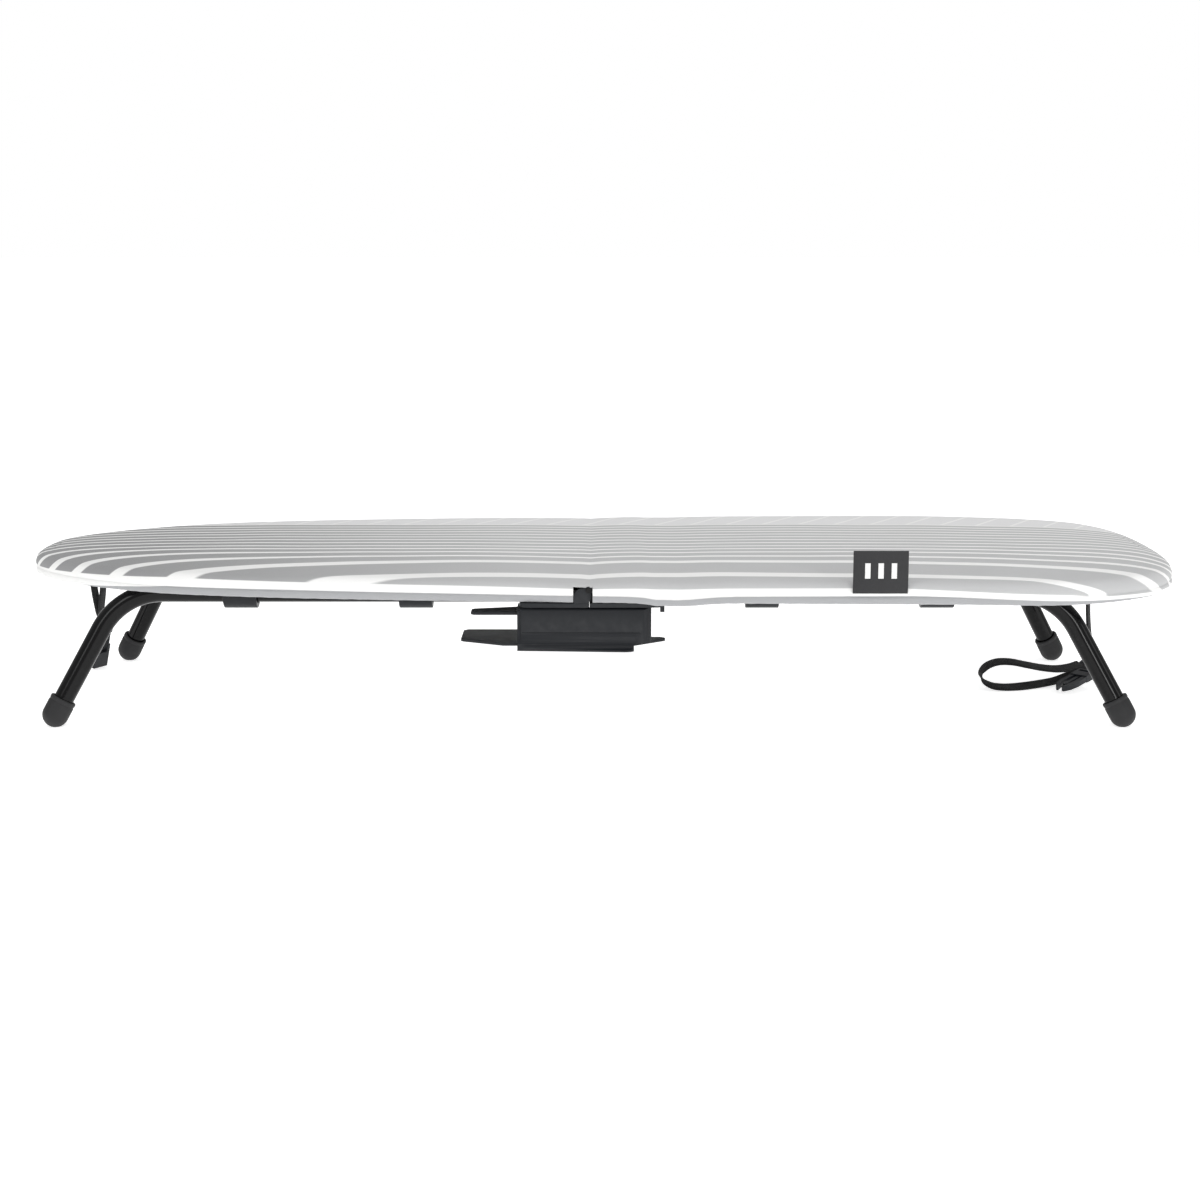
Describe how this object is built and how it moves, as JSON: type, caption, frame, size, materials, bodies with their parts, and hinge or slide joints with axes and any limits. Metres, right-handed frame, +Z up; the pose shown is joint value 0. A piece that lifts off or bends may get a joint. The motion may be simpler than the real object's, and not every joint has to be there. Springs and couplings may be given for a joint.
{
  "type": "ironing board",
  "caption": "Table-top ironing board that folds in half, with a padded striped cover, folding tube legs with rubber feet, a sliding lock and carry straps.",
  "frame": {"origin": "under the middle of the board's box, on the surface that the feet stand on", "axes": "+X along the board towards its blunt end, +Y away from the edge that carries the lock, +Z up"},
  "size_m": [0.8, 0.3294, 0.1284],
  "materials": {
    "striped_cotton": "woven cotton, grey with white lines",
    "felt_pad": "needled felt",
    "painted_steel": "powder coated",
    "black_enamel": "glossy black enamel",
    "zinc_steel": "bright zinc plate",
    "black_rubber": "matte moulded rubber",
    "slate_plastic": "moulded, matte",
    "black_webbing": "ribbed polypropylene webbing",
    "tag_fabric": "woven tag, blank"
  },
  "bodies": {
    "left_half": {"left_cover": "striped_cotton", "left_pad": "felt_pad", "left_mesh_panel": "painted_steel", "left_crossbar_inner": "painted_steel", "left_crossbar_outer": "painted_steel", "hinge_bracket_front_left": "slate_plastic", "leg_clip_front_left_inner": "slate_plastic", "clip_screw_front_left_inner": "zinc_steel", "leg_clip_front_left_outer": "slate_plastic", "clip_screw_front_left_outer": "zinc_steel", "hinge_bracket_rear_left": "slate_plastic", "leg_clip_rear_left_inner": "slate_plastic", "clip_screw_rear_left_inner": "zinc_steel", "leg_clip_rear_left_outer": "slate_plastic", "clip_screw_rear_left_outer": "zinc_steel", "hinge_pin_front": "black_enamel", "hinge_pin_rear": "black_enamel", "lock_rail": "slate_plastic", "left_strap": "black_webbing", "left_buckle_socket": "slate_plastic"},
    "right_half": {"right_cover": "striped_cotton", "right_pad": "felt_pad", "right_mesh_panel": "painted_steel", "right_crossbar_inner": "painted_steel", "right_crossbar_outer": "painted_steel", "hinge_bracket_front_right": "slate_plastic", "leg_clip_front_right_inner": "slate_plastic", "clip_screw_front_right_inner": "zinc_steel", "leg_clip_front_right_outer": "slate_plastic", "clip_screw_front_right_outer": "zinc_steel", "hinge_bracket_rear_right": "slate_plastic", "leg_clip_rear_right_inner": "slate_plastic", "clip_screw_rear_right_inner": "zinc_steel", "leg_clip_rear_right_outer": "slate_plastic", "clip_screw_rear_right_outer": "zinc_steel", "lock_keeper": "slate_plastic", "right_strap": "black_webbing", "right_strap_adjuster": "slate_plastic", "right_strap_loop": "black_webbing", "right_buckle_plug": "slate_plastic", "cover_tag": "tag_fabric"},
    "lock_slider": {"lock_slider": "slate_plastic"},
    "leg_front_left": {"leg_tube_front_left": "black_enamel", "leg_foot_front_left": "black_rubber", "leg_plug_front_left": "slate_plastic", "leg_stop_front_left": "zinc_steel"},
    "leg_rear_left": {"leg_tube_rear_left": "black_enamel", "leg_foot_rear_left": "black_rubber", "leg_plug_rear_left": "slate_plastic", "leg_stop_rear_left": "zinc_steel"},
    "leg_front_right": {"leg_tube_front_right": "black_enamel", "leg_foot_front_right": "black_rubber", "leg_plug_front_right": "slate_plastic", "leg_stop_front_right": "zinc_steel"},
    "leg_rear_right": {"leg_tube_rear_right": "black_enamel", "leg_foot_rear_right": "black_rubber", "leg_plug_rear_right": "slate_plastic", "leg_stop_rear_right": "zinc_steel"}
  },
  "joints": [
    {"name": "board_fold", "type": "hinge", "parent": "left_half", "child": "right_half", "pos_m": [-0.0054, 0, 0.1011], "axis": [0, -1, 0], "range_deg": [0, 165]},
    {"name": "lock_slide", "type": "slide", "parent": "left_half", "child": "lock_slider", "axis": [-1, 0, 0], "range_m": [0, 0.047]},
    {"name": "leg_fold_front_left", "type": "hinge", "parent": "left_half", "child": "leg_front_left", "pos_m": [-0.2054, -0.0933, 0.0893], "axis": [1, 0, 0], "range_deg": [0, 98]},
    {"name": "leg_fold_rear_left", "type": "hinge", "parent": "left_half", "child": "leg_rear_left", "pos_m": [-0.2054, 0.0947, 0.0893], "axis": [-1, 0, 0], "range_deg": [0, 98]},
    {"name": "leg_fold_front_right", "type": "hinge", "parent": "right_half", "child": "leg_front_right", "pos_m": [0.1946, -0.0933, 0.0893], "axis": [1, 0, 0], "range_deg": [0, 98]},
    {"name": "leg_fold_rear_right", "type": "hinge", "parent": "right_half", "child": "leg_rear_right", "pos_m": [0.1946, 0.0947, 0.0893], "axis": [-1, 0, 0], "range_deg": [0, 98]}
  ]
}
